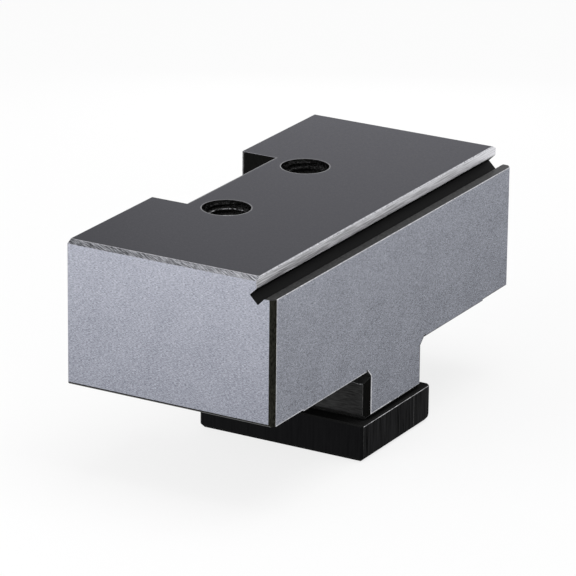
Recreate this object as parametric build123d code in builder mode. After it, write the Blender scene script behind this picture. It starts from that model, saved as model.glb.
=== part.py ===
import math
import os

from build123d import *

os.makedirs("parts", exist_ok=True)

# Stepped vise jaw: a ground steel block with a step along its clamping edge, a neck below it and
# a plate screwed under the neck that reaches beneath the rails of the vise.
# X runs along the jaw, the clamping face looks to -Y, Z is up. Zero is the middle of the
# footprint, on the underside of the plate. All lengths are in millimetres.

# Overall sizes
jaw_width = 125.0
jaw_depth = 59.0
block_height = 38.2          # from the ground pads to the top
rail_space = 13.6            # height of the space that takes the rail lips
plate_thickness = 10.0
plate_width = 36.0
plate_length = 48.0
plate_lead = 0.5             # how far the plate stands out in front of the clamping face

# Step along the clamping edge
step_depth = 5.0
step_height = 5.0
step_edge_break = 0.3
step_relief_width = 3.2
step_relief_depth = 1.0      # how far the relief runs past the corner of the step

# Edges of the block
end_chamfer_run = 1.6
end_chamfer_drop = 0.85
corner_chamfer_run = 1.4
corner_chamfer_depth = 1.1
bottom_edge_break = 0.45

# Underside: the ends are relieved, the pads beside the neck are ground
pad_inset = 15.0
pad_relief = 0.4

# Notch in the rear
notch_width = 45.0
notch_depth = 10.3

# Tapped holes in the top
top_thread_drill = 10.2
top_thread_countersink = 13.2
top_thread_spacing = 40.0
top_thread_depth = 24.0
top_thread_from_face = 38.6
drill_point_angle = 118.0

# Neck
neck_width = 30.0
neck_chamfer_run = 2.0
neck_chamfer_depth = 1.3
neck_bottom_chamfer = 1.5
neck_relief_width = 2.8
neck_relief_past = 0.2       # how far the relief runs past the corner, both ways

# Screws that hold the plate
screw_size = 10.0
screw_drill = 8.5
screw_root_clearance = 0.1   # the thread is drawn as a plain bore with this much play across
screw_through_clearance = 1.0
screw_head_width = 16.0
screw_head_height = 6.0
screw_head_chamfer = 0.6
screw_head_side_clearance = 1.5
screw_head_sink = 0.5        # the head lies this far inside the plate
screw_socket = 7.0
screw_socket_depth = 3.6
screw_length = 20.0          # under the head
screw_bore_spare = 4.0       # depth of the bore past the tip of the screw
screw_spacing = 26.0

# Edges of the plate
plate_top_break = 0.4
plate_bottom_chamfer = 1.0
plate_corner_break = 0.6

# Levels and planes that follow from the sizes
face_y = -(jaw_depth + plate_lead) / 2 + plate_lead
rear_y = face_y + jaw_depth
notch_y = rear_y - notch_depth
wall_y = face_y + step_depth
plate_front_y = face_y - plate_lead
plate_middle_y = plate_front_y + plate_length / 2
plate_top_z = plate_thickness
pad_z = plate_top_z + rail_space
end_underside_z = pad_z + pad_relief
top_z = pad_z + block_height
ledge_z = top_z - step_height
half_width = jaw_width / 2
half_neck = neck_width / 2
head_bore_depth = screw_head_height + screw_head_sink
screw_reach = screw_length - (plate_thickness - head_bore_depth)
reach_out = 6.0              # length of a relief cutter outside the corner it cuts
past = 1.0                   # how far a cut runs on outside the solid


# Jaw body
with BuildPart() as jaw_body:
    # Front view of block and neck, run over the whole depth
    with BuildSketch(Plane.XZ.offset(-face_y)) as front_view:
        with BuildLine() as front_outline:
            Polyline(
                (0, top_z),
                (half_width - end_chamfer_run, top_z),
                (half_width, top_z - end_chamfer_drop),
                (half_width, end_underside_z + bottom_edge_break),
                (half_width - bottom_edge_break, end_underside_z),
                (half_width - pad_inset, end_underside_z),
                (half_width - pad_inset, pad_z),
                (half_neck, pad_z),
                (half_neck, plate_top_z + neck_bottom_chamfer),
                (half_neck - neck_bottom_chamfer, plate_top_z),
                (0, plate_top_z),
                (0, top_z),
            )
        make_face()
        mirror(about=Plane.YZ)
    extrude(amount=-jaw_depth)

    # The step: everything in front of its wall and above its ledge goes
    with BuildSketch(Plane.YZ) as step_view:
        with BuildLine() as step_outline:
            Polyline(
                (face_y - past, ledge_z),
                (wall_y, ledge_z),
                (wall_y, top_z - step_edge_break),
                (wall_y + step_edge_break, top_z),
                (wall_y + step_edge_break, top_z + past),
                (face_y - past, top_z + past),
                (face_y - past, ledge_z),
            )
        make_face()
    extrude(amount=half_width + past, both=True, mode=Mode.SUBTRACT)

    # Relief in the corner of the step, cut at 45 degrees with its middle on the corner
    with BuildSketch(
        Plane(origin=(0, wall_y, ledge_z), x_dir=(0, 1, -1), z_dir=(1, 0, 0))
    ) as step_relief:
        with Locations(((step_relief_depth - reach_out) / 2, 0)):
            Rectangle(step_relief_depth + reach_out, step_relief_width)
    extrude(amount=half_width + past, both=True, mode=Mode.SUBTRACT)

    # Reliefs in the two corners between neck and underside; the cutter's upper wall just
    # clears the corner, so the groove eats mostly into the neck
    for side in (-1, 1):
        with BuildSketch(
            Plane(
                origin=(side * half_neck, face_y, pad_z),
                x_dir=(-side, 0, 1),
                z_dir=(0, side, 0),
            )
        ) as neck_relief:
            with Locations(
                (
                    (neck_relief_past - reach_out) / 2,
                    neck_relief_past - neck_relief_width / 2,
                )
            ):
                Rectangle(neck_relief_past + reach_out, neck_relief_width)
        extrude(amount=jaw_depth + past, both=True, mode=Mode.SUBTRACT)

    # Notch in the rear, from the top down through block and neck
    with BuildSketch(Plane.XY.offset(top_z)) as notch:
        with Locations((0, rear_y)):
            Rectangle(notch_width, 2 * notch_depth)
    extrude(amount=-(top_z - plate_top_z), mode=Mode.SUBTRACT)

    # Upright chamfers between the clamping face and the ends
    with BuildSketch(Plane.XY.offset(pad_z)) as corner_cut:
        for side in (-1, 1):
            with BuildLine() as corner_line:
                Polyline(
                    (side * half_width, face_y),
                    (side * (half_width - corner_chamfer_run), face_y),
                    (side * half_width, face_y + corner_chamfer_depth),
                    (side * half_width, face_y),
                )
            make_face()
    extrude(amount=ledge_z - pad_z, mode=Mode.SUBTRACT)

    # Upright chamfers on the front of the neck, ending in the reliefs
    neck_cut_top = pad_z - (neck_relief_width - 2 * neck_relief_past) / math.sqrt(2)
    with BuildSketch(Plane.XY.offset(plate_top_z)) as neck_cut:
        for side in (-1, 1):
            with BuildLine() as neck_line:
                Polyline(
                    (side * half_neck, face_y),
                    (side * (half_neck - neck_chamfer_run), face_y),
                    (side * half_neck, face_y + neck_chamfer_depth),
                    (side * half_neck, face_y),
                )
            make_face()
    extrude(amount=neck_cut_top - plate_top_z, mode=Mode.SUBTRACT)

    # Chamfer under the front and the rear of the neck
    for plane_y, way in ((face_y, 1), (notch_y, -1)):
        with BuildSketch(Plane.YZ) as neck_end_cut:
            with BuildLine() as neck_end_line:
                Polyline(
                    (plane_y, plate_top_z),
                    (plane_y + way * neck_bottom_chamfer, plate_top_z),
                    (plane_y, plate_top_z + neck_bottom_chamfer),
                    (plane_y, plate_top_z),
                )
            make_face()
        extrude(amount=half_neck + past, both=True, mode=Mode.SUBTRACT)

    # Two tapped holes in the top, drilled blind and countersunk
    drill_point = top_thread_drill / 2 / math.tan(math.radians(drill_point_angle / 2))
    with Locations(Plane.XY.offset(top_z)):
        with Locations(
            (-top_thread_spacing / 2, face_y + top_thread_from_face),
            (top_thread_spacing / 2, face_y + top_thread_from_face),
        ):
            CounterSinkHole(
                radius=top_thread_drill / 2,
                counter_sink_radius=top_thread_countersink / 2,
                depth=top_thread_depth,
                counter_sink_angle=90,
            )
    with Locations(
        (-top_thread_spacing / 2, face_y + top_thread_from_face, top_z - top_thread_depth),
        (top_thread_spacing / 2, face_y + top_thread_from_face, top_z - top_thread_depth),
    ):
        Cone(
            bottom_radius=0,
            top_radius=top_thread_drill / 2,
            height=drill_point,
            align=(Align.CENTER, Align.CENTER, Align.MAX),
            mode=Mode.SUBTRACT,
        )

    # Two tapped bores in the foot of the neck for the screws of the plate
    with BuildSketch(Plane.XY.offset(plate_top_z)) as screw_bores:
        with Locations(
            (0, plate_middle_y - screw_spacing / 2),
            (0, plate_middle_y + screw_spacing / 2),
        ):
            Circle(screw_drill / 2)
    extrude(amount=screw_reach + screw_bore_spare, mode=Mode.SUBTRACT)

jaw_body.part.label = "jaw_body"
export_step(jaw_body.part, "parts/jaw_body.step")


# Plate under the neck
with BuildPart() as foot_plate:
    with BuildSketch(Plane.XY) as plate_outline:
        with Locations((0, plate_middle_y)):
            Rectangle(plate_width, plate_length)
    extrude(amount=plate_thickness)
    chamfer(foot_plate.edges().filter_by(Axis.Z), length=plate_corner_break)
    chamfer(foot_plate.faces().sort_by(Axis.Z)[-1].edges(), length=plate_top_break)
    chamfer(foot_plate.faces().sort_by(Axis.Z)[0].edges(), length=plate_bottom_chamfer)
    with BuildSketch(Plane.XY) as through_holes:
        with Locations(
            (0, plate_middle_y - screw_spacing / 2),
            (0, plate_middle_y + screw_spacing / 2),
        ):
            Circle((screw_size + screw_through_clearance) / 2)
    extrude(amount=plate_thickness, mode=Mode.SUBTRACT)
    with BuildSketch(Plane.XY) as head_bores:
        with Locations(
            (0, plate_middle_y - screw_spacing / 2),
            (0, plate_middle_y + screw_spacing / 2),
        ):
            Circle((screw_head_width + screw_head_side_clearance) / 2)
    extrude(amount=head_bore_depth, mode=Mode.SUBTRACT)

foot_plate.part.label = "foot_plate"
export_step(foot_plate.part, "parts/foot_plate.step")


# Screws of the plate, head down
with BuildPart() as foot_screw_a:
    with BuildSketch(Plane.XY.offset(screw_head_sink)) as head_outline:
        with Locations((0, plate_middle_y - screw_spacing / 2)):
            Circle(screw_head_width / 2)
    extrude(amount=screw_head_height)
    chamfer(foot_screw_a.faces().sort_by(Axis.Z)[0].edges(), length=screw_head_chamfer)
    with BuildSketch(Plane.XY.offset(head_bore_depth)) as shank_outline:
        with Locations((0, plate_middle_y - screw_spacing / 2)):
            Circle(screw_size / 2)
    extrude(amount=plate_thickness - head_bore_depth)
    with BuildSketch(Plane.XY.offset(plate_thickness)) as root_outline:
        with Locations((0, plate_middle_y - screw_spacing / 2)):
            Circle((screw_drill - screw_root_clearance) / 2)
    extrude(amount=screw_reach)
    with BuildSketch(Plane.XY.offset(screw_head_sink)) as socket_outline:
        with Locations((0, plate_middle_y - screw_spacing / 2)):
            RegularPolygon(radius=screw_socket / 2, side_count=6, major_radius=False)
    extrude(amount=screw_socket_depth, mode=Mode.SUBTRACT)

foot_screw_a.part.label = "foot_screw_a"
export_step(foot_screw_a.part, "parts/foot_screw_a.step")

with BuildPart() as foot_screw_b:
    add(foot_screw_a.part.moved(Location((0, screw_spacing, 0))))

foot_screw_b.part.label = "foot_screw_b"
export_step(foot_screw_b.part, "parts/foot_screw_b.step")
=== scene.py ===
# %% [markdown]
# # A stepped vise jaw, dressed for a photograph
#
# The object is a hardened steel jaw that slides along the rails of a machine vise. Its ends and its clamping face
# are surface ground, its top and its reliefs are left black from the oxide bath, and a black foot plate under its
# neck reaches beneath the rails and holds it down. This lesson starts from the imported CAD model, which fixes every
# size and place, and adds what a drawing leaves out: broken edges, threads and the finish of each face.

import bmesh
import bpy
import numpy as np
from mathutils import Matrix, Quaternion, Vector


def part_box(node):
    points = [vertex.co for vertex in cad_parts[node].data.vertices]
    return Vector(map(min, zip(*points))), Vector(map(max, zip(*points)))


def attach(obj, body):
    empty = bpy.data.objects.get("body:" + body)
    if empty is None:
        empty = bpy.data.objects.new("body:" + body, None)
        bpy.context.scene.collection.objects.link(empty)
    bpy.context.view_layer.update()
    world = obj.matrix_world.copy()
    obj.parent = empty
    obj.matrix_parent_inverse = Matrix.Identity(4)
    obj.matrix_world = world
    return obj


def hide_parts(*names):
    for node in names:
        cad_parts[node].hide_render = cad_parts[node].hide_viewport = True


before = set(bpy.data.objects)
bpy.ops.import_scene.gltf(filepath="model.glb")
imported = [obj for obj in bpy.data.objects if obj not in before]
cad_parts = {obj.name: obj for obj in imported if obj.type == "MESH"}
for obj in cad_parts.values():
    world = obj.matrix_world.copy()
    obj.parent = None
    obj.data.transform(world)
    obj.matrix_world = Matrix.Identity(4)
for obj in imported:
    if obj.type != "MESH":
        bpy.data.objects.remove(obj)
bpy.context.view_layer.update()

MM = 0.001

# %% [markdown]
# ## Levels that the faces are told apart by
#
# A finish belongs to a face, not to a whole solid, so the script needs to know where each face lies. The box of
# the CAD node gives the outer levels. The levels inside it, such as the ledge of the step, are written here once,
# in millimetres, with Z up, X along the jaw and the clamping face towards -Y. The two halves of the jaw are
# mirror images, so each level in X stands for both.

# %% Levels in millimetres
body_low, body_high = (np.array(corner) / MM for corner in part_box("jaw_body"))
END_X, FACE_Y, REAR_Y, TOP_Z = body_high[0], body_low[1], body_high[1], body_high[2]
# The step along the clamping edge, the notch in the rear and the bevel over each end
WALL_Y, LEDGE_Z = FACE_Y + 5.0, TOP_Z - 5.0
NOTCH_X, NOTCH_Y = 22.5, REAR_Y - 10.3
BEVEL_X = END_X - 1.6
# The ground pads under the block, and the ends of its underside, which lie a little higher
PAD_Z, PAD_END_X = TOP_Z - 38.2, 47.5
END_UNDER_Z = PAD_Z + 0.4
# The neck: its seat on the foot plate, its flank with the relief above it, and its front between two chamfers
SEAT_Z = body_low[2]
NECK_X, NECK_RELIEF_Z = 15.0, 19.92
NECK_FRONT_X, NECK_FOOT_Z, NECK_SHOULDER_Z = 13.0, 11.5, 21.9
# The two tapped holes in the top
THREAD_X, THREAD_Y = 20.0, FACE_Y + 38.6
print(f"top {TOP_Z:.1f}, ledge {LEDGE_Z:.1f}, underside {PAD_Z:.1f}, step wall at y {WALL_Y:.2f}")

# %% [markdown]
# ## Colour and node helpers
#
# Colours are written as the hex values that a paint shop or a colour picker would give, which are sRGB. The
# shader wants linear light, so one function converts them. A second small function adds a node, sets its
# properties, and fills each input with either a constant or a link from another node's output.

# %% Helpers for colours and nodes


def linear(code):
    """Turns an sRGB hex code into linear RGBA: each channel c becomes ((c + 0.055) / 1.055) to the power 2.4,
    or c / 12.92 where c is very dark."""
    c = np.array([int(code[i : i + 2], 16) for i in (1, 3, 5)]) / 255
    rgb = np.where(c <= 0.04045, c / 12.92, ((c + 0.055) / 1.055) ** 2.4)
    return (*rgb.tolist(), 1.0)


def add(tree, kind, inputs=None, **settings):
    """Adds a node of that kind, sets its properties, and fills its inputs with constants or links."""
    node = tree.nodes.new(kind)
    for name, value in settings.items():
        setattr(node, name, value)
    for name, value in (inputs or {}).items():
        if isinstance(value, bpy.types.NodeSocket):
            tree.links.new(value, node.inputs[name])
        else:
            node.inputs[name].default_value = value
    return node


def empty_tree(owner):
    """The node tree of a material or a world, switched on and emptied."""
    owner.use_nodes = True
    owner.node_tree.nodes.clear()
    return owner.node_tree


print("mid grey #808080 in linear light:", round(linear("#808080")[0], 3))

# %% [markdown]
# ## Steel finishes
#
# All the finishes here are one metal with different skins, so one recipe draws them. A fine noise is the grain
# that the wheel or the cutter leaves, a wide one is the soft mottling of hardened steel, and both move the
# colour. The grain also moves the roughness and a shallow bump. Its size is given in millimetres along each axis:
# equal sizes make a blasted skin, and one long side makes scratches or tool marks. The true grain of a ground
# face is under 0.1 mm. A pixel of the photograph covers about 0.25 mm, so the grain is drawn a few times coarser.

# %% A steel skin from grain, mottling and bump
CLOUD_MM, GRAIN_DEPTH_MM = 9.0, 0.02
GRAIN_LOW, GRAIN_HIGH = 0.3, 0.7  # the noise seldom leaves this range, so colour and roughness span it


def steel_skin(
    name, dark, light, grain_mm, roughness,
    bump=0.3, mottle=0.0, turn=(0, 0, 0), edge=None, shade=None, metal=1.0, gloss=0.5,
):
    """A steel finish. Colour runs from dark to light with a mix of grain and mottle; grain_mm is the size of one
    grain along X, Y and Z; roughness is its lowest and highest value; turn swings the grain about X, Y and Z; edge is
    the tint at grazing angles; shade is painted light and shade, a slope per metre along X, Y and Z and a level,
    added to the grain where a face darkens towards one side, so the colour itself turns paler or darker; metal is
    below 1 where the oxide is thick enough to scatter light, and gloss is the shine of that oxide."""
    material = bpy.data.materials.new(name)
    tree = empty_tree(material)
    shader = add(tree, "ShaderNodeBsdfPrincipled", {"Metallic": metal, "Specular IOR Level": gloss})
    add(tree, "ShaderNodeOutputMaterial", {"Surface": shader.outputs["BSDF"]})
    place = add(tree, "ShaderNodeTexCoord").outputs["Object"]
    swung = add(tree, "ShaderNodeMapping", {"Vector": place, "Rotation": turn}).outputs["Vector"]
    per_grain = tuple(1 / (size * MM) for size in grain_mm)
    scaled = add(tree, "ShaderNodeMapping", {"Vector": swung, "Scale": per_grain}).outputs["Vector"]
    grain = add(
        tree,
        "ShaderNodeTexNoise",
        {"Vector": scaled, "Scale": 1.0, "Detail": 2.0, "Roughness": 0.6, "Distortion": 0.4},
    ).outputs["Fac"]
    cloud = add(
        tree, "ShaderNodeTexNoise", {"Vector": place, "Scale": 1 / (CLOUD_MM * MM), "Detail": 1.0, "Roughness": 0.4}
    ).outputs["Fac"]
    tone = add(tree, "ShaderNodeMix", {"Factor": mottle, "A": grain, "B": cloud}, data_type="FLOAT").outputs["Result"]
    # The shade term is painted light and shade: it moves the colour itself along a slope
    if shade:
        slope = add(tree, "ShaderNodeVectorMath", {0: place, 1: shade[:3]}, operation="DOT_PRODUCT").outputs["Value"]
        raised = add(tree, "ShaderNodeMath", {0: slope, 1: shade[3]}, operation="ADD").outputs["Value"]
        tone = add(tree, "ShaderNodeMath", {0: tone, 1: raised}, operation="ADD").outputs["Value"]
    ramp = add(tree, "ShaderNodeValToRGB", {"Fac": tone})
    for stop, position, code in zip(ramp.color_ramp.elements, (GRAIN_LOW, GRAIN_HIGH), (dark, light)):
        stop.position, stop.color = position, linear(code)
    tree.links.new(ramp.outputs["Color"], shader.inputs["Base Color"])
    rough = {"Value": grain, "From Min": GRAIN_LOW, "From Max": GRAIN_HIGH}
    rough |= {"To Min": roughness[0], "To Max": roughness[1]}
    tree.links.new(add(tree, "ShaderNodeMapRange", rough).outputs["Result"], shader.inputs["Roughness"])
    relief = add(tree, "ShaderNodeBump", {"Height": grain, "Strength": bump, "Distance": GRAIN_DEPTH_MM * MM})
    tree.links.new(relief.outputs["Normal"], shader.inputs["Normal"])
    if edge:
        shader.inputs["Specular Tint"].default_value = linear(edge)
    return material


print(f"soft mottling every {CLOUD_MM:.0f} mm, grain {GRAIN_DEPTH_MM} mm deep")

# %% [markdown]
# ## The bright finishes: ground and milled steel
#
# Hardened alloy steel turns a cool, faintly blue grey when it is ground. A wheel leaves short strokes along its path,
# a cutter leaves longer and bolder ones. The clamping face and the ends are ground on the same machine, but they
# stand at different angles to the light, so each has colours of its own: they are copies of one steel tuned to how
# each is lit, which is painted light. So are the slopes of their shade, which make them paler towards the top.

# %% Make the bright finishes
FINISH = {
    # Ground ends: the lit copy, a pale cool grey with fine level strokes, and painted light that makes it a little
    # paler towards the top
    "ground_end": steel_skin(
        "steel_end_surface_ground", "#575a65", "#aeb0b9", (0.6, 0.58, 0.08), (0.42, 0.48),
        bump=0.03, mottle=0.05, shade=(0.0, 0.0, 1.6, -0.083),
    ),
    # Ground clamping face: the same steel turned from the light, a copy with colours tuned to that light, with
    # shorter and sharper strokes; painted light makes it paler towards the top and a little darker to the right
    "ground_steel": steel_skin(
        "steel_surface_ground", "#3c4049", "#bcbfca", (0.33, 0.5, 0.08), (0.42, 0.48),
        bump=0.03, mottle=0.05, shade=(-0.2, 0.0, 1.6, -0.09),
    ),
    # End bevels, milled after hardening and left bright: bold slanted cutter marks that flicker light and dark, and
    # painted light that makes them paler towards the front
    "milled_bevel": steel_skin(
        "steel_end_milled_bright", "#26272a", "#bebfc5", (0.17, 2.4, 0.17), (0.3, 0.45),
        turn=(-0.2, 0.0, 0.37), shade=(0.0, -1.6, 0.0, -0.045),
    ),
    # Wall of the step, freshly ground along the jaw: a bright line with long streaks, and painted light that makes it
    # brighter up and to the right
    "step_wall": steel_skin(
        "steel_step_ground_bright", "#6e6e70", "#e4e4e8", (8.0, 0.4, 0.2), (0.3, 0.42),
        shade=(1.3, 0.0, 21.0, -1.19),
    ),
    # Flanks of the neck: ground steel painted dark as painted shade for their place under the block, with level
    # strokes that run to the rear
    "flank_painted_shade": steel_skin(
        "steel_flank_ground_painted_shade", "#161616", "#363636", (0.5, 3.0, 0.35), (0.4, 0.5), mottle=0.2
    ),
}
print("bright finishes:", ", ".join(FINISH))

# %% [markdown]
# ## The black finishes: oxide on milled steel
#
# Black oxide is grown from the steel itself in a hot bath, so it is thin and takes the shine of what is below. On
# the fine top it is a satin that turns grey at grazing angles, which the edge tint sets. Where it is thick, it
# scatters light as soot does, which a lower metallic value gives.

# %% Make the black finishes
FINISH |= {
    # Top of the jaw: an even dark satin with a very fine grit, and painted light that makes it paler towards the
    # right
    "black_top": steel_skin(
        "steel_black_oxide_satin", "#2b2b2d", "#49494c", (0.4, 0.4, 0.4), (0.31, 0.49),
        bump=0.5, edge="#d8d8dc", shade=(1.0, 0.0, 0.0, -0.035),
    ),
    # Ledge of the step: softer and more even than the top, because its oxide is thicker; painted light makes it paler
    # towards the right
    "black_ledge": steel_skin(
        "steel_ledge_black_oxide", "#3c3c3c", "#5a5a59", (1.2, 0.4, 0.4), (0.34, 0.46),
        edge="#c8c8cc", shade=(1.5, 0.0, 0.0, -0.03), metal=0.5, gloss=0.0,
    ),
    # Reliefs and the rear: nearly black, cloudy, with faint upright tool marks
    "black_recess": steel_skin(
        "steel_black_oxide_milled", "#121213", "#202020", (0.5, 0.5, 1.4), (0.45, 0.6), mottle=0.2, edge="#e0e0e0"
    ),
    # Undersides: a dull charcoal, hardly metallic, painted lighter than their shade would leave them as painted fill
    # light, so that they stay readable above a white floor
    "black_under": steel_skin(
        "steel_relief_black_oxide", "#242424", "#343434", (0.5, 0.5, 1.4), (0.5, 0.6), metal=0.2, gloss=0.1
    ),
    # Sides of the notch and small cut-backs: the deepest black, which draws a crisp dark line
    "black_notch": steel_skin("steel_notch_black_oxide", "#0a0a09", "#111110", (0.5, 0.5, 1.4), (0.45, 0.6)),
    # Upright corner chamfers: black with fine rubbed specks
    "black_chamfer": steel_skin("steel_corner_black_oxide", "#0d0d0b", "#32322c", (0.3, 0.3, 1.0), (0.45, 0.6)),
}
print("finishes so far:", len(FINISH))

# %% [markdown]
# ## The finishes of broken edges
#
# Where two faces meet, a stone has taken the burr off. On ground steel that leaves a thin line, painted paler than
# the face beside it: partly burnished steel and partly a painted highlight. On black steel the line is bare in
# patches or only thinner in its oxide. None of them is wider than two pixels of the photograph, so their grain is
# drawn about 1 mm long, or it would average out to one flat grey.

# %% Make the edge finishes
FINISH |= {
    # Stoned after the oxide bath: bare steel, painted paler than the ground faces so that it shows as a highlight
    # along its whole length, partly burnish and partly painted highlight
    "bright_edge": steel_skin("steel_edge_stoned_painted_highlight", "#9c9da2", "#dcdce0", (0.8, 0.8, 0.8), (0.25, 0.4)),
    # Rubbed in use: steel shows through the oxide in patches, so the line breaks up
    "worn_edge": steel_skin("steel_edge_worn_through_oxide", "#3a3a3c", "#a4a4a8", (1.2, 1.2, 1.2), (0.3, 0.5)),
    # Stoned before the bath: an oxide a shade thinner, a dark grey line that barely shows
    "dim_edge": steel_skin("steel_edge_thin_oxide", "#282828", "#5a5a5a", (1.2, 1.2, 1.2), (0.3, 0.5)),
    # Rims of the bores and of the notch: an even mid grey that rings the black
    "rim_edge": steel_skin("steel_bore_rim_thin_oxide", "#4c4c4e", "#707074", (0.8, 0.8, 0.8), (0.3, 0.5)),
}
print("finishes so far:", len(FINISH))

# %% [markdown]
# ## The finishes inside the tapped holes
#
# The thread was cut before the bath, so it is black, and a screw has since rubbed its crests. The slope of the shade
# runs down the hole as painted light: it keeps the turns just under the mouth black, and paints those further down a
# lighter grey. The bright flecks on the crests are partly that rubbing and partly painted glints.

# %% Make the thread finishes
FINISH |= {
    # Walls and turns: black below the mouth and painted a soft grey further down as painted light, without any gloss
    "thread_steel": steel_skin(
        "steel_tapped_thread_black", "#080808", "#4c4c4c", (0.4, 0.4, 0.3), (0.35, 0.45),
        edge="#a0a0a0", shade=(0.0, 0.0, -90.0, 5.3), metal=0.5, gloss=0.0,
    ),
    # Rubbed crests: flecks of bare steel that serve as painted glints, partly wear and partly painted highlight, with
    # painted light that puts more of them in the left hole than in the right one
    "thread_crest": steel_skin(
        "steel_thread_crest_rubbed_painted_glints", "#0a0a0a", "#e8e8ec", (0.9, 0.9, 0.4), (0.2, 0.3), shade=(-4.0, 0.0, 0.0, -0.2)
    ),
}
print("finishes so far:", len(FINISH))

# %% [markdown]
# ## Reading a mesh as arrays
#
# To break an edge the way a fitter does, the script must know which edges are outside corners and how sharp
# they are. Walking round each face gives, for every side, its direction and the way out of the face. Each edge
# has two such sides, so sorting the sides by edge number pairs up the two faces that meet there.

# %% Edges and faces as numpy arrays


def face_table(mesh):
    """Centre in mm, normal and material number of every face."""
    count = len(mesh.polygons)
    centre, normal = np.empty(count * 3), np.empty(count * 3)
    index = np.empty(count, dtype=np.int32)
    mesh.polygons.foreach_get("center", centre)
    mesh.polygons.foreach_get("normal", normal)
    mesh.polygons.foreach_get("material_index", index)
    return centre.reshape(-1, 3) / MM, normal.reshape(-1, 3), index


def edge_table(mesh):
    """Middle in mm, direction, length in mm and turn in degrees of every edge: the turn is the angle between the
    normals of the two faces that meet there, positive where the other face's normal points out of this one."""
    points = np.empty(len(mesh.vertices) * 3)
    mesh.vertices.foreach_get("co", points)
    points = points.reshape(-1, 3) / MM
    sides, faces = len(mesh.loops), len(mesh.polygons)
    start, edge = np.empty(sides, dtype=np.int32), np.empty(sides, dtype=np.int32)
    first, total = np.empty(faces, dtype=np.int32), np.empty(faces, dtype=np.int32)
    mesh.loops.foreach_get("vertex_index", start)
    mesh.loops.foreach_get("edge_index", edge)
    mesh.polygons.foreach_get("loop_start", first)
    mesh.polygons.foreach_get("loop_total", total)
    owner = np.repeat(np.arange(faces), total)
    following = np.arange(sides) + 1
    following[first + total - 1] = first
    way = points[start[following]] - points[start]
    normal = face_table(mesh)[1][owner]
    outward = np.cross(way, normal)
    order = np.argsort(edge, kind="stable")
    one, two = order[0::2], order[1::2]
    cosine = np.clip((normal[one] * normal[two]).sum(1), -1, 1)
    turn = np.degrees(np.arccos(cosine)) * np.sign((outward[one] * normal[two]).sum(1))
    middle = (points[start[one]] + points[start[following[one]]]) / 2
    length = np.linalg.norm(way[one], axis=1, keepdims=True)
    return middle, way[one] / length, length[:, 0], turn


print("CAD jaw:", len(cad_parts["jaw_body"].data.polygons), "loose triangles")

# %% [markdown]
# ## The tapped holes
#
# The two M12 holes in the top take the screws of a stop or a lifting eye. A drill makes the bore, a countersink
# opens its mouth, and a tap cuts the thread. The bore is a surface of revolution: a list of radius and height
# is turned round the axis, which gives a grid of angle by step. Its last ring is joined to one closing point at
# the tip of the drill. It takes the place of the CAD copy's bore, whose rim has too few sides to look round.

# %% The bore as a surface of revolution
TAP_RADIUS, CREST_RADIUS, PITCH = 6.05, 5.1, 1.75  # M12, its tapping drill and its pitch
MOUTH_RADIUS, RIM_WIDTH, RIM_DROP = 6.6, 0.3, 0.02  # the countersink, and the thin rim where oxide is worn
COUNTERSUNK_RADIUS = MOUTH_RADIUS - RIM_WIDTH
VISIBLE_DEPTH, THREAD_DEPTH, RUN_OUT, DRILL_DEPTH, DRILL_POINT = 6.0, 21.0, 0.95, 24.0, 118
RUN_OUT_Z = TOP_Z - THREAD_DEPTH
DRILL_END_Z = TOP_Z - DRILL_DEPTH
TIP_Z = DRILL_END_Z - CREST_RADIUS / np.tan(np.radians(DRILL_POINT / 2))
BORE_PROFILE = np.array(
    [
        (MOUTH_RADIUS, TOP_Z),
        (COUNTERSUNK_RADIUS, TOP_Z - RIM_DROP),
        (TAP_RADIUS, TOP_Z - RIM_DROP - (COUNTERSUNK_RADIUS - TAP_RADIUS)),
        (TAP_RADIUS, TOP_Z - VISIBLE_DEPTH),
        (TAP_RADIUS, RUN_OUT_Z),
        (CREST_RADIUS, RUN_OUT_Z - RUN_OUT),
        (CREST_RADIUS, DRILL_END_Z),
        (CREST_RADIUS / 2, (DRILL_END_Z + TIP_Z) / 2),
    ]
)


def grid_mesh(name, grid, tip=None):
    """A mesh of four-sided faces over a grid of points in mm, rows by columns, whose columns close into a ring. A
    tip in mm closes the last row with triangles."""
    rows, columns = grid.shape[:2]
    number = np.arange(rows * columns).reshape(rows, columns)
    here, below = number[:-1], number[1:]
    quads = np.stack([here, below, np.roll(below, -1, axis=1), np.roll(here, -1, axis=1)], axis=2)
    faces, points = quads.reshape(-1, 4).tolist(), grid.reshape(-1, 3)
    if tip is not None:
        last = number[-1]
        fan = np.stack([last, np.full(columns, len(points)), np.roll(last, -1)], axis=1)
        points = np.vstack([points, tip])
        faces += fan.tolist()
    mesh = bpy.data.meshes.new(name)
    mesh.from_pydata((points * MM).tolist(), [], faces)
    return mesh


def bore_mesh(x, y, angle):
    """Rings of points: at angle a, the ring of radius r and height z holds (x + r cos a, y + r sin a, z)."""
    radius, height = BORE_PROFILE[:, :1], BORE_PROFILE[:, 1:]
    grid = np.stack([x + radius * np.cos(angle), y + radius * np.sin(angle), height + 0 * angle], axis=2)
    return grid_mesh("bore", grid, tip=(x, y, TIP_Z))


print("bore:", len(BORE_PROFILE), f"rings, tip at z {TIP_Z:.2f}")

# %% [markdown]
# ## A clean copy of a CAD node
#
# The jaw keeps its CAD shape to the hundredth of a millimetre, so the piece starts as a copy of the CAD mesh. That
# mesh is loose triangles, and a bevel needs whole faces that share their edges, so doubled points are merged and
# flat neighbours joined. Where two cuts of the drawing nearly meet, triangles stay that are too small to see. A
# bevel would fold them over its own faces, so their short edges are closed up.

# %% Merge a copy of a CAD node
MERGE_MM, FLAT_DEGREES = 0.001, 0.5
SLIVER_AREA, SLIVER_EDGE = 0.0008, 0.031  # square mm and mm


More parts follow.
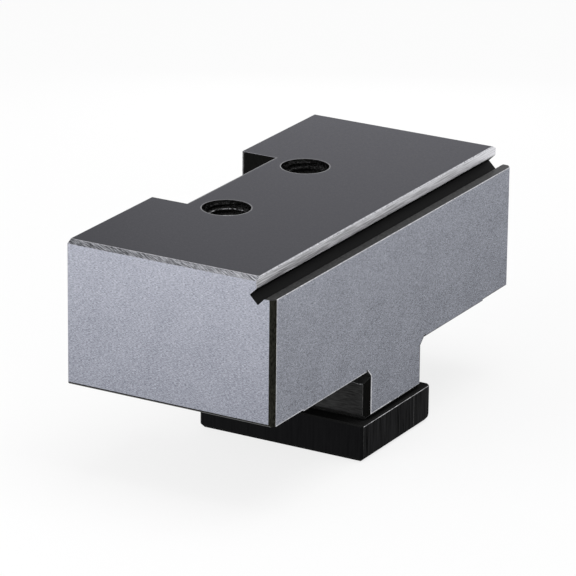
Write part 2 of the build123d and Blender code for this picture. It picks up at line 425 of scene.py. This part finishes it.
def weld_slivers(work):
    """Closes up the short edges of every face that is too small to see, and returns how many there were."""
    slivers = [f for f in work.faces if f.calc_area() < SLIVER_AREA * MM**2]
    short = list(dict.fromkeys(e for f in slivers for e in f.edges if e.calc_length() < SLIVER_EDGE * MM))
    bmesh.ops.collapse(work, edges=short)
    return len(short)


def merged_copy(node, name):
    """A new mesh and a working copy of the CAD node's mesh with its doubled vertices merged, its flat faces
    joined and the normals that came with the file left out, because the new edges need their own."""
    mesh = bpy.data.meshes.new(name)
    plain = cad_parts[node].data.copy()
    for extra in [a for a in plain.attributes if a.name == "custom_normal"]:
        plain.attributes.remove(extra)
    work = bmesh.new()
    work.from_mesh(plain)
    bpy.data.meshes.remove(plain)
    bmesh.ops.remove_doubles(work, verts=work.verts, dist=MERGE_MM * MM)
    bmesh.ops.dissolve_limit(work, angle_limit=np.radians(FLAT_DEGREES), verts=work.verts, edges=work.edges)
    weld_slivers(work)
    return mesh, work


jaw_mesh, work = merged_copy("jaw_body", "jaw_dressed")
print("copy of the jaw:", len(work.verts), "vertices,", len(work.faces), "faces")

# %% [markdown]
# ## Sewing the bores in
#
# A hole in a mesh can be swapped for a finer one if both have the same points along their rim. So the faces of
# the old bore are cut out, each side of the rim that stays is halved, and its points are set on the true circle.
# The new bore then takes its columns from those points, and merging closes the seam.

# %% Sew the bores into the jaw
SEAM_MM = 0.002


def sew_bores(work):
    """Swaps each coarse bore for a fine one, rim to rim, and returns how many edges are still open."""
    for x in (-THREAD_X, THREAD_X):
        axis = Vector((x * MM, THREAD_Y * MM, 0))
        reach = (MOUTH_RADIUS + 0.05) * MM
        inside = [f for f in work.faces if all((v.co - axis).xy.length < reach for v in f.verts)]
        bmesh.ops.delete(work, geom=inside, context="FACES")
        bmesh.ops.subdivide_edges(work, edges=[e for e in work.edges if e.is_boundary], cuts=1)
        rim = list(dict.fromkeys(v for e in work.edges if e.is_boundary for v in e.verts))
        around = np.array([(v.co - axis).xy for v in rim])
        angle = np.arctan2(around[:, 1], around[:, 0])
        for v, a in zip(rim, angle):
            v.co.x, v.co.y = axis.x + MOUTH_RADIUS * MM * np.cos(a), axis.y + MOUTH_RADIUS * MM * np.sin(a)
        work.from_mesh(bore_mesh(x, THREAD_Y, np.sort(angle)))
        bmesh.ops.remove_doubles(work, verts=work.verts, dist=SEAM_MM * MM)
    bmesh.ops.recalc_face_normals(work, faces=work.faces)
    return sum(1 for e in work.edges if not e.is_manifold)


print("open edges after sewing:", sew_bores(work))
work.to_mesh(jaw_mesh)
work.free()
print("jaw with its bores:", len(jaw_mesh.vertices), "vertices,", len(jaw_mesh.polygons), "faces")

# %% [markdown]
# ## How wide each edge is broken
#
# A stone drawn once along a ground edge takes off a tenth of a millimetre or less. The edge of the ledge and the
# rear corners get a little more, and the lower corners of the ends and the rear side of the corner chamfers about
# a quarter of a millimetre. Inside corners stay as they are, and so do edges that the drawing already broke. The
# photograph shows these lines, and no bevel of one width would give them all, so each edge has a width of its own.

# %% Choose the width of each break


def near(value, level, slack=0.05):
    """True where a value lies within slack of a level."""
    return np.abs(value - level) < slack


def between(value, low, high):
    """True where a value lies between two levels."""
    return (value > low) & (value < high)


def jaw_breaks(middle, way, length, turn):
    """The width in mm of the break on each edge of the jaw, from where its middle lies and which way it runs. An
    edge that turns by less than 20 degrees, is shorter than 1.2 mm or stands on the foot plate isn't broken."""
    x, y, z = np.abs(middle[:, 0]), middle[:, 1], middle[:, 2]
    outside = (turn > 20) & (length > 1.2) & (z > SEAT_Z + 0.1)
    along, upright = np.abs(way[:, 0]) > 0.9, np.abs(way[:, 2]) > 0.9
    on_face, on_end = near(y, FACE_Y), near(x, END_X)
    width = np.where(outside, 0.1, 0.0)
    for test, value in (
        (near(z, LEDGE_Z) & on_face, 0.16),  # front of the ledge
        (on_face & along & (z < PAD_Z + 0.5), 0.1),  # lower edge of the clamping face
        (on_face & upright, 0.075),  # front corners, and the sides of the neck's front
        (upright & between(y, FACE_Y + 0.5, FACE_Y + 1.5), 0.25),  # rear side of the corner chamfer
        (on_end & between(z, LEDGE_Z - 2.0, TOP_Z - 1.0), 0.045),  # outline of the step on the end
        (on_end & near(z, PAD_Z + 0.85, 0.1), 0.22),  # lower corner of the end
        (near(x, END_X - 0.45, 0.1) & (z < PAD_Z + 0.6), 0.0),  # inner side of the chamfer below the end
        (near(x, NECK_X) & (z < PAD_Z - 3.0), 0.06),  # edges of the neck's flank
        (upright & near(y, REAR_Y), 0.15),  # rear corners
        (near(z, TOP_Z) & near(x, BEVEL_X), 0.07),  # upper side of the end bevel
        (on_end & between(z, TOP_Z - 1.0, TOP_Z - 0.7), 0.0),  # its lower side
        (along & between(y, WALL_Y - 0.05, WALL_Y + 0.35) & (z > LEDGE_Z + 2.0), 0.0),  # broken in the drawing
    ):
        width[outside & test] = value
    return width


widths = jaw_breaks(*edge_table(jaw_mesh))
print("edges to break:", int((widths > 0).sum()), "from", widths[widths > 0].min(), "to", widths.max(), "mm")

# %% [markdown]
# ## Breaking the edges
#
# The Bevel modifier cuts every edge by its own share of one width, and the share is stored as a weight on the
# edge. Two segments make the break slightly round, which spreads its highlight. Where breaks of different widths
# meet, the modifier leaves slivers and faces that aren't quite flat, and these are mended straight after it.

# %% Break the outside edges
JAW_WIDEST, BREAK_SEGMENTS = 0.45, 2  # a weight of 1 stands for this width in mm
BENT_DEGREES = 8


def mend(mesh):
    """Welds the slivers that are left where breaks meet, and parts each bent face along the line that bends it."""
    work = bmesh.new()
    work.from_mesh(mesh)
    welded = weld_slivers(work)
    bmesh.ops.connect_verts_nonplanar(work, angle_limit=np.radians(BENT_DEGREES), faces=work.faces)
    bmesh.ops.dissolve_degenerate(work, dist=MERGE_MM * MM, edges=work.edges)
    work.to_mesh(mesh)
    work.free()
    return welded


def break_edges(mesh, widths, name, widest):
    """Stores the widths as bevel weights, lets the Bevel modifier cut them, and returns the finished mesh. The
    new faces have material number 1, the old ones 0."""
    weight = mesh.attributes.new("bevel_weight_edge", "FLOAT", "EDGE")
    weight.data.foreach_set("value", (widths / widest).astype(np.float32))
    piece = bpy.data.objects.new(name, mesh)
    bpy.context.scene.collection.objects.link(piece)
    mesh.materials.append(None)
    mesh.materials.append(None)
    bevel = piece.modifiers.new("Broken edges", "BEVEL")
    bevel.limit_method, bevel.width, bevel.segments = "WEIGHT", widest * MM, BREAK_SEGMENTS
    bevel.material, bevel.use_clamp_overlap, bevel.miter_outer = 1, False, "MITER_ARC"
    shaped = piece.evaluated_get(bpy.context.evaluated_depsgraph_get())
    done = bpy.data.meshes.new_from_object(shaped)
    bpy.data.objects.remove(piece)
    done.name = name
    print(name, "short edges welded:", mend(done))
    return done


jaw_done = break_edges(jaw_mesh, widths, "jaw_dressed", JAW_WIDEST)
print("faces now:", len(jaw_done.polygons))

# %% [markdown]
# ## Strips along the outline
#
# The stone that breaks an edge also slides over the face beside it and leaves a strip about 0.3 mm wide. Along the
# lower outline of the clamping face the strip is bright on the left half, where its pale colour is partly that wear
# and partly a painted highlight, and dull on the right half. Beside each end of the neck's relief a small black nick,
# a chipped corner, cuts it off: the chip is not modelled, and its shadow is painted on the flat face as a black
# patch. At the rear the oxide is rubbed thin along the notch. A strip needs a face of its own before it can have a
# finish, so the flat faces are parted along straight lines here. Their shape doesn't change.

# %% Part the strips from the flat faces
X_AXIS, Y_AXIS, Z_AXIS = np.eye(3)
LAND, LAND_SIDE, RUBBED = 0.27, 0.3, 0.3  # width of a strip: level or slanted, upright, and along the notch
RELIEF_X = 15.3  # the pad's strip starts here
# The nick is a painted shadow: these place the black patch that stands for a chipped corner
NICK_X, NICK_HIGH, NICK_RIGHT = (14.95, 15.65), 0.55, 16.0  # from and to, half its height, and to at the right
DIM_END = 22.0  # the dull strip to the right of the neck ends here
SLANT = NECK_FRONT_X + 0.02 - NECK_SHOULDER_Z  # x - z along the slanted end of the neck's relief
NOTCH_BREAK, REAR_BREAK = 0.1, 0.2  # how far the broken edges reach from the notch and from the rear


def cut_lands(mesh, toward, level, cuts):
    """Parts the flat faces that look along that unit vector, at that level in mm, along straight lines. Each line is
    given as a unit vector across it and its place in mm along that vector."""
    toward = Vector(toward)
    work = bmesh.new()
    work.from_mesh(mesh)
    for across, place in cuts:
        facing = [f for f in work.faces if f.normal.dot(toward) > 0.999]
        flat = [f for f in facing if near(f.verts[0].co.dot(toward) / MM, level, 0.01)]
        corners = dict.fromkeys([v for f in flat for v in f.verts] + [e for f in flat for e in f.edges])
        way = Vector(across)
        bmesh.ops.bisect_plane(work, geom=[*corners, *flat], plane_co=way * place * MM, plane_no=way, dist=0.01 * MM)
    work.to_mesh(mesh)
    work.free()


levels = (PAD_Z + LAND, PAD_Z + NICK_HIGH, END_UNDER_Z + LAND, NECK_SHOULDER_Z, NECK_FOOT_Z + LAND)
sides = (NECK_FRONT_X - LAND_SIDE, *NICK_X, RELIEF_X, PAD_END_X)
cuts = [(Z_AXIS, z) for z in levels] + [(X_AXIS, NICK_RIGHT), (X_AXIS, DIM_END)]
for way in (-1, 1):
    cuts += [(X_AXIS, way * x) for x in sides]
    cuts.append(((way * X_AXIS - Z_AXIS) / np.sqrt(2), SLANT / np.sqrt(2) - LAND))
cut_lands(jaw_done, -Y_AXIS, -FACE_Y, cuts)
by_notch = [(X_AXIS, -NOTCH_X - NOTCH_BREAK), (X_AXIS, NOTCH_X + NOTCH_BREAK)]
cut_lands(jaw_done, Z_AXIS, TOP_Z, [(Y_AXIS, NOTCH_Y - NOTCH_BREAK - RUBBED), *by_notch])
for way in (-1, 1):
    cut_lands(jaw_done, way * X_AXIS, -NOTCH_X, [(Y_AXIS, REAR_Y - REAR_BREAK - RUBBED)])
print("faces with the strips:", len(jaw_done.polygons))

# %% [markdown]
# ## Which face gets which finish
#
# Every face now knows its middle, its normal and whether the bevel made it. A list of rules, read from top to
# bottom, gives each face its finish, and a later rule wins over an earlier one. One short function applies the
# rules, and a second one makes the piece, so the jaw, the threads and the foot can share them.

# %% Give faces their finish and make the piece
SMOOTH_DEGREES = 24


def finish_faces(mesh, rules):
    """Gives each face the finish of the last rule whose test is true for it, and returns the count of each."""
    mesh.materials.clear()
    names = list(dict.fromkeys(name for name, _ in rules))
    index = np.zeros(len(mesh.polygons), dtype=np.int32)
    for name, test in rules:
        index[test] = names.index(name)
    for name in names:
        mesh.materials.append(FINISH[name])
    mesh.polygons.foreach_set("material_index", index)
    mesh.update()
    return {name: int((index == i).sum()) for i, name in enumerate(names)}


def dress(mesh, name, rules, flat, *nodes):
    """Makes the piece from its finished mesh: flat faces stay flat, round ones are shaded smooth, and the piece
    takes the place of the CAD nodes and rides on the one body."""
    print(name, finish_faces(mesh, rules))
    mesh.set_sharp_from_angle(angle=np.radians(SMOOTH_DEGREES))
    mesh.polygons.foreach_set("use_smooth", ~flat)
    piece = bpy.data.objects.new(name, mesh)
    bpy.context.scene.collection.objects.link(piece)
    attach(piece, "root")
    if nodes:
        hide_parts(*nodes)
    return piece


print("edges that turn by more than", SMOOTH_DEGREES, "degrees stay sharp")

# %% [markdown]
# ## Where the faces of the jaw lie
#
# Each test below is an array with one true or false for every face, and its name says which part of the jaw it
# picks out. A face looks straight along an axis where nearly all of its normal does, and leans that way where a
# good part does. The margins are in millimetres, and only as exact as it takes to tell one face from the next.

# %% Name the regions of the jaw
STRAIGHT, LEANING = 0.9, 0.3
centre, normal, kind = face_table(jaw_done)
x, y, z = np.abs(centre[:, 0]), centre[:, 1], centre[:, 2]
nx, ny, nz = np.abs(normal[:, 0]), normal[:, 1], normal[:, 2]
old, cut, right = kind == 0, kind == 1, centre[:, 0] > 0
facing_up, facing_side = old & (nz > STRAIGHT), old & (nx > STRAIGHT)
facing_front, facing_rear = old & (ny < -STRAIGHT), old & (ny > STRAIGHT)
top = facing_up & (z > TOP_Z - 0.1)
corner_chamfer = old & (nx > LEANING) & (ny < -LEANING)
end_bevel = old & (nx > LEANING) & (nz > LEANING) & (x > BEVEL_X - 0.1) & (z > TOP_Z - 1.0)
step_edge = old & (ny < -LEANING) & (nz > LEANING) & (z > TOP_Z - 0.4)
relief_floor = old & (nx > LEANING) & (nz > LEANING) & (z < PAD_Z)
under = old & (nz < -LEANING) & (z < PAD_Z + 1)
in_step = between(y, FACE_Y + 0.05, WALL_Y + 3) & between(z, LEDGE_Z - 2.2, LEDGE_Z + 2.3) & (nx < 0.5)
at_notch = (y > NOTCH_Y - 0.3) & (x < END_X - 1) & (z > PAD_Z)
at_neck, at_flank = x < NECK_X, near(x, NECK_X, 0.2)
radius = np.hypot(x - THREAD_X, y - THREAD_Y)
in_bore = (radius < MOUTH_RADIUS) & (z < TOP_Z - 0.01)
bore_rim = between(radius, COUNTERSUNK_RADIUS, MOUTH_RADIUS) & (z > TOP_Z - RIM_DROP)
below_ledge = z < LEDGE_Z - 0.1
print("faces:", int(old.sum()), "of which in the bores:", int(in_bore.sum()), "and of broken edges:", int(cut.sum()))

# %% [markdown]
# The strips of the clamping face follow its lower outline: along the pads and the higher ends, up the sides of the
# neck, round the slanted ends of its relief and along its foot.

# %% Name the strips of the clamping face
clamping = facing_front & near(y, FACE_Y)
land = (z < PAD_Z + LAND) & between(x, RELIEF_X, PAD_END_X) | (z < END_UNDER_Z + LAND) & (x > PAD_END_X)
land |= (z < NECK_SHOULDER_Z) & (x > NECK_FRONT_X - LAND_SIDE) | (z < NECK_FOOT_Z + LAND)
land |= (x - z > SLANT - LAND * np.sqrt(2)) & between(x, NECK_FRONT_X - LAND, NICK_X[0]) & (z > PAD_Z - 2)
land &= clamping
nick_painted_shadow = clamping & near(z, PAD_Z, NICK_HIGH) & between(x, NICK_X[0], np.where(right, NICK_RIGHT, NICK_X[1]))
rubbed_top = top & between(y, NOTCH_Y - NOTCH_BREAK - 0.05 - RUBBED, NOTCH_Y) & (x < NOTCH_X)
rubbed_side = facing_side & at_notch & (y > REAR_Y - REAR_BREAK - RUBBED)
print("strips:", int(land.sum()), "nicks:", int(nick_painted_shadow.sum()), "rubbed:", int((rubbed_top | rubbed_side).sum()))

# %% [markdown]
# The rules come in the order of the work, as in a workshop: the block is ground, then some of its faces are
# blackened, then the stone breaks the edges and leaves its strips.

# %% Dress the jaw
face_rules = [
    ("ground_steel", old),
    ("ground_end", facing_side & (x > END_X - 0.1)),
    # Left half of the lower strip: stoning wear with a painted highlight
    ("bright_edge", land & ~right),
    ("rim_edge", land & right & (z > NECK_FOOT_Z + LAND)),
    ("dim_edge", land & right & between(x, NICK_X[0], DIM_END)),
    # The nick: painted shadow of a chipped corner, a black patch on the flat face
    ("black_notch", nick_painted_shadow),
    ("black_recess", facing_rear & (y > WALL_Y)),
    ("black_top", facing_rear & near(y, REAR_Y)),
    ("black_notch", facing_side & at_notch),
    ("black_top", top),
    ("rim_edge", rubbed_top),
    ("dim_edge", rubbed_side),
    ("black_recess", old & in_step),
    ("black_ledge", facing_up & near(z, LEDGE_Z)),
    ("step_wall", facing_front & near(y, WALL_Y)),
    ("bright_edge", step_edge),
    ("black_chamfer", corner_chamfer),
    ("black_notch", corner_chamfer & at_neck),
    ("black_under", under | relief_floor),
    ("dim_edge", under & (x > END_X - 0.5)),
    # Flanks of the neck: painted shade, a darker copy of ground steel
    ("flank_painted_shade", facing_side & near(x, NECK_X, 0.3)),
    ("milled_bevel", end_bevel),
]
edge_rules = [
    ("bright_edge", cut),
    ("ground_end", cut & (x > END_X - 0.1) & (z < LEDGE_Z - 0.5)),
    # Rear side of the corner chamfer, then the corner of the ledge above it
    ("black_chamfer", cut & below_ledge & (nx > LEANING) & (ny < -0.1) & between(y, FACE_Y + 0.4, FACE_Y + 1.6)),
    ("dim_edge", cut & (x > END_X - 1.5) & between(z, LEDGE_Z - 0.3, LEDGE_Z + 0.1) & (y > FACE_Y + 0.2)),
    ("black_recess", cut & in_step & (y > FACE_Y + 0.5)),
    # Outline of the top, then the foot of the neck
    ("worn_edge", cut & (z > TOP_Z - 0.5) & (x < END_X - 2) & (y > WALL_Y + 1)),
    ("dim_edge", cut & (z < PAD_Z - 3.0) & (y > WALL_Y + 3)),
    # The notch, and its corners with the top
    ("worn_edge", cut & at_notch),
    ("rim_edge", cut & at_notch & (nx > 0.2) & (nz > 0.2)),
    # Edges that look down, then the neck's upright chamfer, its flank and the end of its relief
    ("black_under", cut & (nz < -0.5) & (y > FACE_Y + 0.5) & (x < END_X - 1)),
    ("black_under", cut & between(x, NECK_X - 2.1, NECK_X + 0.5) & (y > FACE_Y + 0.2) & (z < PAD_Z)),
    ("dim_edge", cut & at_flank & (nx > 0.6) & (z < PAD_Z - 3.0)),
    ("worn_edge", cut & at_flank & near(z, NECK_RELIEF_Z, 0.2) & (y > FACE_Y + 1.0)),
    # Lower corner of the end
    ("black_chamfer", cut & (nz < -0.1) & (x > END_X - 0.5) & (z < PAD_Z + 1.3)),
    ("thread_steel", in_bore),
    ("rim_edge", bore_rim),
]
jaw = dress(jaw_done, "jaw_dressed", face_rules + edge_rules, old & ~in_bore, "jaw_body")

# %% [markdown]
# ## The thread in the bores
#
# An inside thread is a ridge of steel that winds round the bore. Its section is carried along a helix: for
# every 360 degrees of travel the section drops by one pitch. Near the mouth the countersink has cut the ridge
# away, so no point of it may be nearer to the axis than the cone is at that height. That makes the first turns
# start as thin slivers, as they do on a real tapped hole.

# %% Wind the ridge along a helix
TURN_SIDES, SECTION_POINTS = 64, 13
HALF_RIDGE, HALF_CREST = 0.46 * PITCH, PITCH / 8
FLANK_END, CUT_END, RIDGE_BACK = TAP_RADIUS + 0.07, TAP_RADIUS + 0.1, TAP_RADIUS + 0.2  # all inside the wall
THREAD_TOP_Z, THREAD_END_Z = TOP_Z - 0.35, RUN_OUT_Z + 0.9
CREST_BAND = 0.08  # how far out from the flat crest a screw rubs


def thread_mesh(name, x, y, top, bottom):
    """The point of the section at offset u from its middle line, u from -1 to 1 over half the ridge each way, has
    radius crest + slope * (distance from the flat crest). The section's centre at travel a is at height
    top - pitch * a / 360. Each radius is at least the countersink's: mouth radius - (top of jaw - height)."""
    turns = (top - bottom) / PITCH
    travel = np.linspace(0, turns * 2 * np.pi, int(turns * TURN_SIDES) + 1)[:, None]
    offset = HALF_RIDGE * np.linspace(-1, 1, SECTION_POINTS)
    past_crest = np.clip(np.abs(offset) - HALF_CREST, 0, None)
    radius = CREST_RADIUS + past_crest * (FLANK_END - CREST_RADIUS) / (HALF_RIDGE - HALF_CREST)
    section_r = np.append(radius, [RIDGE_BACK, RIDGE_BACK])
    section_z = np.append(offset, [offset[-1], offset[0]])
    mouth = COUNTERSUNK_RADIUS + RIM_DROP
    height = np.minimum(top - PITCH * travel / (2 * np.pi) + section_z, TOP_Z - mouth + TAP_RADIUS - 0.02)
    cone = mouth - (TOP_Z - height)
    trimmed = np.clip(np.maximum(section_r, cone), None, CUT_END)
    reach = np.where(np.arange(len(section_r)) < SECTION_POINTS, trimmed, section_r)
    grid = np.stack([x + reach * np.cos(travel), y + reach * np.sin(travel), height], axis=2)
    mesh = grid_mesh(name, grid)
    sides = np.arange(grid.shape[1])
    ends = [sides[::-1].tolist(), (sides + (len(grid) - 1) * grid.shape[1]).tolist()]
    work = bmesh.new()
    work.from_mesh(mesh)
    work.verts.ensure_lookup_table()
    for end in ends:
        work.faces.new([work.verts[i] for i in end])
    bmesh.ops.dissolve_degenerate(work, dist=MERGE_MM * MM, edges=work.edges)
    bmesh.ops.recalc_face_normals(work, faces=work.faces)
    work.to_mesh(mesh)
    work.free()
    return mesh


for side, x in (("left", -THREAD_X), ("right", THREAD_X)):
    mesh = thread_mesh(f"thread_{side}", x, THREAD_Y, THREAD_TOP_Z, THREAD_END_Z)
    whole = np.ones(len(mesh.polygons), dtype=bool)
    centre, normal, kind = face_table(mesh)
    reach = np.hypot(centre[:, 0] - x, centre[:, 1] - THREAD_Y)
    # The upper shoulders near the crest look up to the light: their bright finish is painted glints over the rub of
    # the screw
    glint_shoulder = (reach < CREST_RADIUS + CREST_BAND) & between(normal[:, 2], 0.2, 0.9)
    ridge = dress(mesh, f"thread_{side}", [("thread_steel", whole), ("thread_crest", glint_shoulder)], ~whole)

# %% [markdown]
# ## The finishes of the foot
#
# The foot is a black block screwed under the neck. Its sides were milled with the side of a cutter, which leaves fine
# upright streaks, and its edges show steel where the oxide has rubbed off; the broken edges that look up are painted
# bright as a highlight, and the others stay dim. Its oxide is thicker than the jaw's, so on the faces that look up or
# down it has no metallic shine at all.

# %% Make the foot finishes
FINISH |= {
    # Sides of the plate, and its screws: an even black with long faint streaks
    "black_foot": steel_skin(
        "steel_foot_black_oxide", "#0f0f10", "#151516", (0.4, 0.4, 9.0), (0.4, 0.55), edge="#c9c9c9"
    ),
    # Front of the plate: the same streaks, but standing out more against a deeper black; its paler streaks lift it
    # above the sides as painted light
    "foot_front": steel_skin(
        "steel_foot_side_milled", "#060606", "#303031", (0.22, 0.3, 12.0), (0.4, 0.55), edge="#b8b8b8"
    ),
    # Top, bottom and chamfers of the plate: a flat matt black
    "foot_matt": steel_skin(
        "steel_foot_matt_black_oxide", "#1e1e1e", "#242424", (0.5, 0.5, 0.5), (0.5, 0.6), metal=0.0, gloss=0.0
    ),
    # Upper edge of the front, rubbed by the rails: a bright line with gaps, partly wear and partly painted highlight
    "foot_edge": steel_skin("steel_foot_edge_rubbed_painted_highlight", "#6a6a6c", "#e6e6e8", (1.6, 1.6, 1.6), (0.3, 0.4)),
}
print("all finishes:", ", ".join(sorted(FINISH)))

# %% [markdown]
# ## The foot plate and its screws
#
# The lower right corner of the plate's front has been knocked round, and one scratch runs up the front. The corner
# is drawn by setting four points of its outline on an arc, the scratch by parting a strip of the face. The
# screws are hidden from the side. From below they show their socket heads.

# %% Shape the foot
FOOT_FRONT_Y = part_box("foot_plate")[0][1] / MM
FOOT_TOP_BREAK, FOOT_CHAMFER = 0.4, 1.0
FOOT_TOE_X, FOOT_TOE, TOE_ANGLES = 17.4, 1.1, np.radians((0, 35, 62, 90))
SCRATCH_X, SCRATCH_WIDTH = 9.2, 0.12
FOOT_WIDEST = 0.1


def round_toe(work):
    """Rounds off the lower right corner of the plate's front, which the camera sees against the floor. The lower
    edge gets three more points, and they and the corner follow a quarter turn: at angle a the point lies at
    x = toe x - toe * (1 - cos a) and z = chamfer + toe * (1 - sin a)."""
    front = [v for v in work.verts if near(v.co.y / MM, FOOT_FRONT_Y) and near(v.co.z / MM, FOOT_CHAMFER)]
    corner = max(front, key=lambda v: v.co.x)
    lower = next(e for e in corner.link_edges if all(v in front for v in e.verts))
    path = FOOT_TOE_X - FOOT_TOE * (1 - np.cos(TOE_ANGLES)), FOOT_CHAMFER + FOOT_TOE * (1 - np.sin(TOE_ANGLES))
    corner.co.z = path[1][0] * MM
    for x, z in zip(path[0][1:], path[1][1:]):
        lower, corner = bmesh.utils.edge_split(lower, corner, 0.1)
        corner.co.x, corner.co.z = x * MM, z * MM
        lower = next(e for e in corner.link_edges if e.other_vert(corner).co.x < 0)


def foot_breaks(middle, way, length, turn):
    """The plate's front: a thin break where the bevel of the top edge meets the front, and on the upright edges."""
    outside = (turn > 20) & (length > 3) & near(middle[:, 1], FOOT_FRONT_Y)
    width = np.where(outside & near(middle[:, 2], SEAT_Z - FOOT_TOP_BREAK), 0.09, 0.0)
    width[outside & (np.abs(way[:, 2]) > 0.9)] = 0.03
    return width


print(f"front of the plate at y {FOOT_FRONT_Y:.2f}, scratch at x {SCRATCH_X}")

# %% [markdown]
# The plate and the screws go through the same steps as the jaw: a merged copy, broken edges, rules, piece. Only
# the plate has edges to break. It is shaded smooth all over but for the faces that look straight up or down, and
# the sharp edges keep its sides apart.

# %% Dress the foot
for node in ("foot_plate", "foot_screw_a", "foot_screw_b"):
    plate = node == "foot_plate"
    mesh, work = merged_copy(node, node + "_dressed")
    if plate:
        round_toe(work)
    work.to_mesh(mesh)
    work.free()
    done = break_edges(mesh, foot_breaks(*edge_table(mesh)) * plate, node + "_dressed", FOOT_WIDEST)
    if plate:
        cut_lands(done, -Y_AXIS, -FOOT_FRONT_Y, [(X_AXIS, SCRATCH_X), (X_AXIS, SCRATCH_X + SCRATCH_WIDTH)])
    centre, normal, kind = face_table(done)
    old, cut, ny, nz = kind == 0, kind == 1, normal[:, 1], normal[:, 2]
    front = ny < -STRAIGHT
    scratch = front & near(centre[:, 0], SCRATCH_X + SCRATCH_WIDTH / 2)
    rules = [
        ("black_foot", old),
        ("foot_front", old & front & plate),
        ("foot_matt", old & (np.abs(nz) > LEANING) & plate),
        ("dim_edge", scratch & plate),
        # Broken edges that look up get the painted highlight, the rest stay dim
        ("foot_edge", cut & (nz > 0.2)),
        ("dim_edge", cut & (nz < 0.2)),
    ]
    piece = dress(done, node + "_dressed", rules, old & (np.hypot(normal[:, 0], ny) < 0.01), node)

# %% [markdown]
# ## The floor
#
# A product photograph is taken on a white table in a white tent. Both look white to the camera and to anything
# glossy, but light the object at a plain level. The floor keeps the object's soft shadow, because only part of
# what the camera sees of it is glow.

# %% Floor
FLOOR_REACH, FLOOR_GLOW = 4.0, 0.8


def seen_rays(tree):
    """1 for the rays that look at the background: from the camera, off gloss and through glass. 0 for the rest."""
    path = add(tree, "ShaderNodeLightPath").outputs
    pair = add(tree, "ShaderNodeMath", {0: path["Is Camera Ray"], 1: path["Is Glossy Ray"]}, operation="MAXIMUM")
    glass = {0: pair.outputs[0], 1: path["Is Transmission Ray"]}
    return add(tree, "ShaderNodeMath", glass, operation="MAXIMUM").outputs[0]


ground = bpy.data.meshes.new("floor")
corners = FLOOR_REACH * np.array([(-1, -1, 0), (1, -1, 0), (1, 1, 0), (-1, 1, 0)])
ground.from_pydata(corners.tolist(), [], [(0, 1, 2, 3)])
floor = bpy.data.objects.new("floor", ground)
bpy.context.scene.collection.objects.link(floor)

# White paper, matt: a soft shadow on a ground that otherwise reads as plain white
paper = bpy.data.materials.new("floor_white_paper")
tree = empty_tree(paper)
white = add(tree, "ShaderNodeBsdfDiffuse", {"Color": linear("#f2f2f2")})
glow = add(tree, "ShaderNodeEmission", {"Color": linear("#ffffff"), "Strength": 1.0})
share = add(tree, "ShaderNodeMath", {0: seen_rays(tree), 1: FLOOR_GLOW}, operation="MULTIPLY")
both = add(tree, "ShaderNodeMixShader", {0: share.outputs[0], 1: white.outputs[0], 2: glow.outputs[0]})
add(tree, "ShaderNodeOutputMaterial", {"Surface": both.outputs[0]})
ground.materials.append(paper)
print("floor made,", 2 * FLOOR_REACH, "m wide")

# %% [markdown]
# ## The sky
#
# The tent is plain white where it is seen, and about half as strong where it lights the jaw. That keeps its
# reflection in the black top as pale as the background, and leaves the modelling of the faces to the lamps.

# %% Sky
SKY_LEVEL = 0.55
sky = bpy.data.worlds.new("white_tent")
bpy.context.scene.world = sky
tree = empty_tree(sky)
level = add(tree, "ShaderNodeMapRange", {"Value": seen_rays(tree), "To Min": SKY_LEVEL, "To Max": 1.0})
back = add(tree, "ShaderNodeBackground", {"Color": linear("#ffffff"), "Strength": level.outputs["Result"]})
add(tree, "ShaderNodeOutputWorld", {"Surface": back.outputs[0]})
print("sky made:", sky.name)

# %% [markdown]
# ## The lamps
#
# Three soft boxes shape the block. The one at the left makes the near end the brightest face, the large one above
# puts the sheen on the black top, and a small weak one beyond the far end lifts what looks that way a little.

# %% Lamps
LAMP_AIM = Vector((0, 0, 0.035))


def soft_box(name, azimuth, elevation, distance, size, power):
    """A square area lamp that faces the jaw from that direction, in degrees, metres and watts."""
    a, e = np.radians((azimuth, elevation))
    way = Vector((np.sin(a) * np.cos(e), -np.cos(a) * np.cos(e), np.sin(e)))
    data = bpy.data.lights.new(name, "AREA")
    data.shape, data.size, data.energy = "SQUARE", size, power
    lamp = bpy.data.objects.new(name, data)
    lamp.location = LAMP_AIM + way * distance
    lamp.rotation_mode = "QUATERNION"
    lamp.rotation_quaternion = (-way).to_track_quat("-Z", "Y")
    bpy.context.scene.collection.objects.link(lamp)
    return lamp


lamps = [
    soft_box("soft_box_left", -118, 12, 0.7, 0.45, 3.6),
    soft_box("soft_box_top", 20, 78, 1.4, 1.0, 9.0),
    soft_box("soft_box_far", 118, 12, 0.3, 0.14, 0.045),
]
print("lamps:", ", ".join(lamp.name for lamp in lamps))

# %% [markdown]
# ## The camera
#
# The jaw was photographed from about a metre away with a long lens, so its edges run almost parallel. The angles,
# the distance and the lens come from fitting the corners of the model to those in the photograph.

# %% Camera
AZIMUTH, ELEVATION, ROLL = -60.30, 19.41, 0.647
TARGET, DISTANCE = Vector((0.22, 2.79, 35.46)) * MM, 1134.24 * MM
LENS, SENSOR = 275.97, 36.0
a, e = np.radians((AZIMUTH, ELEVATION))
back = Vector((np.sin(a) * np.cos(e), -np.cos(a) * np.cos(e), np.sin(e)))
camera_data = bpy.data.cameras.new("camera")
camera_data.lens, camera_data.sensor_width, camera_data.sensor_fit = LENS, SENSOR, "HORIZONTAL"
camera_data.clip_start, camera_data.clip_end = 0.05, 20.0
camera = bpy.data.objects.new("camera", camera_data)
camera.rotation_mode = "QUATERNION"
camera.location = TARGET + back * DISTANCE
camera.rotation_quaternion = (-back).to_track_quat("-Z", "Y") @ Quaternion((0, 0, 1), np.radians(ROLL))
bpy.context.scene.collection.objects.link(camera)
bpy.context.scene.camera = camera
bpy.context.scene.view_settings.view_transform = "Standard"
print("camera at", [round(v, 4) for v in camera.location])
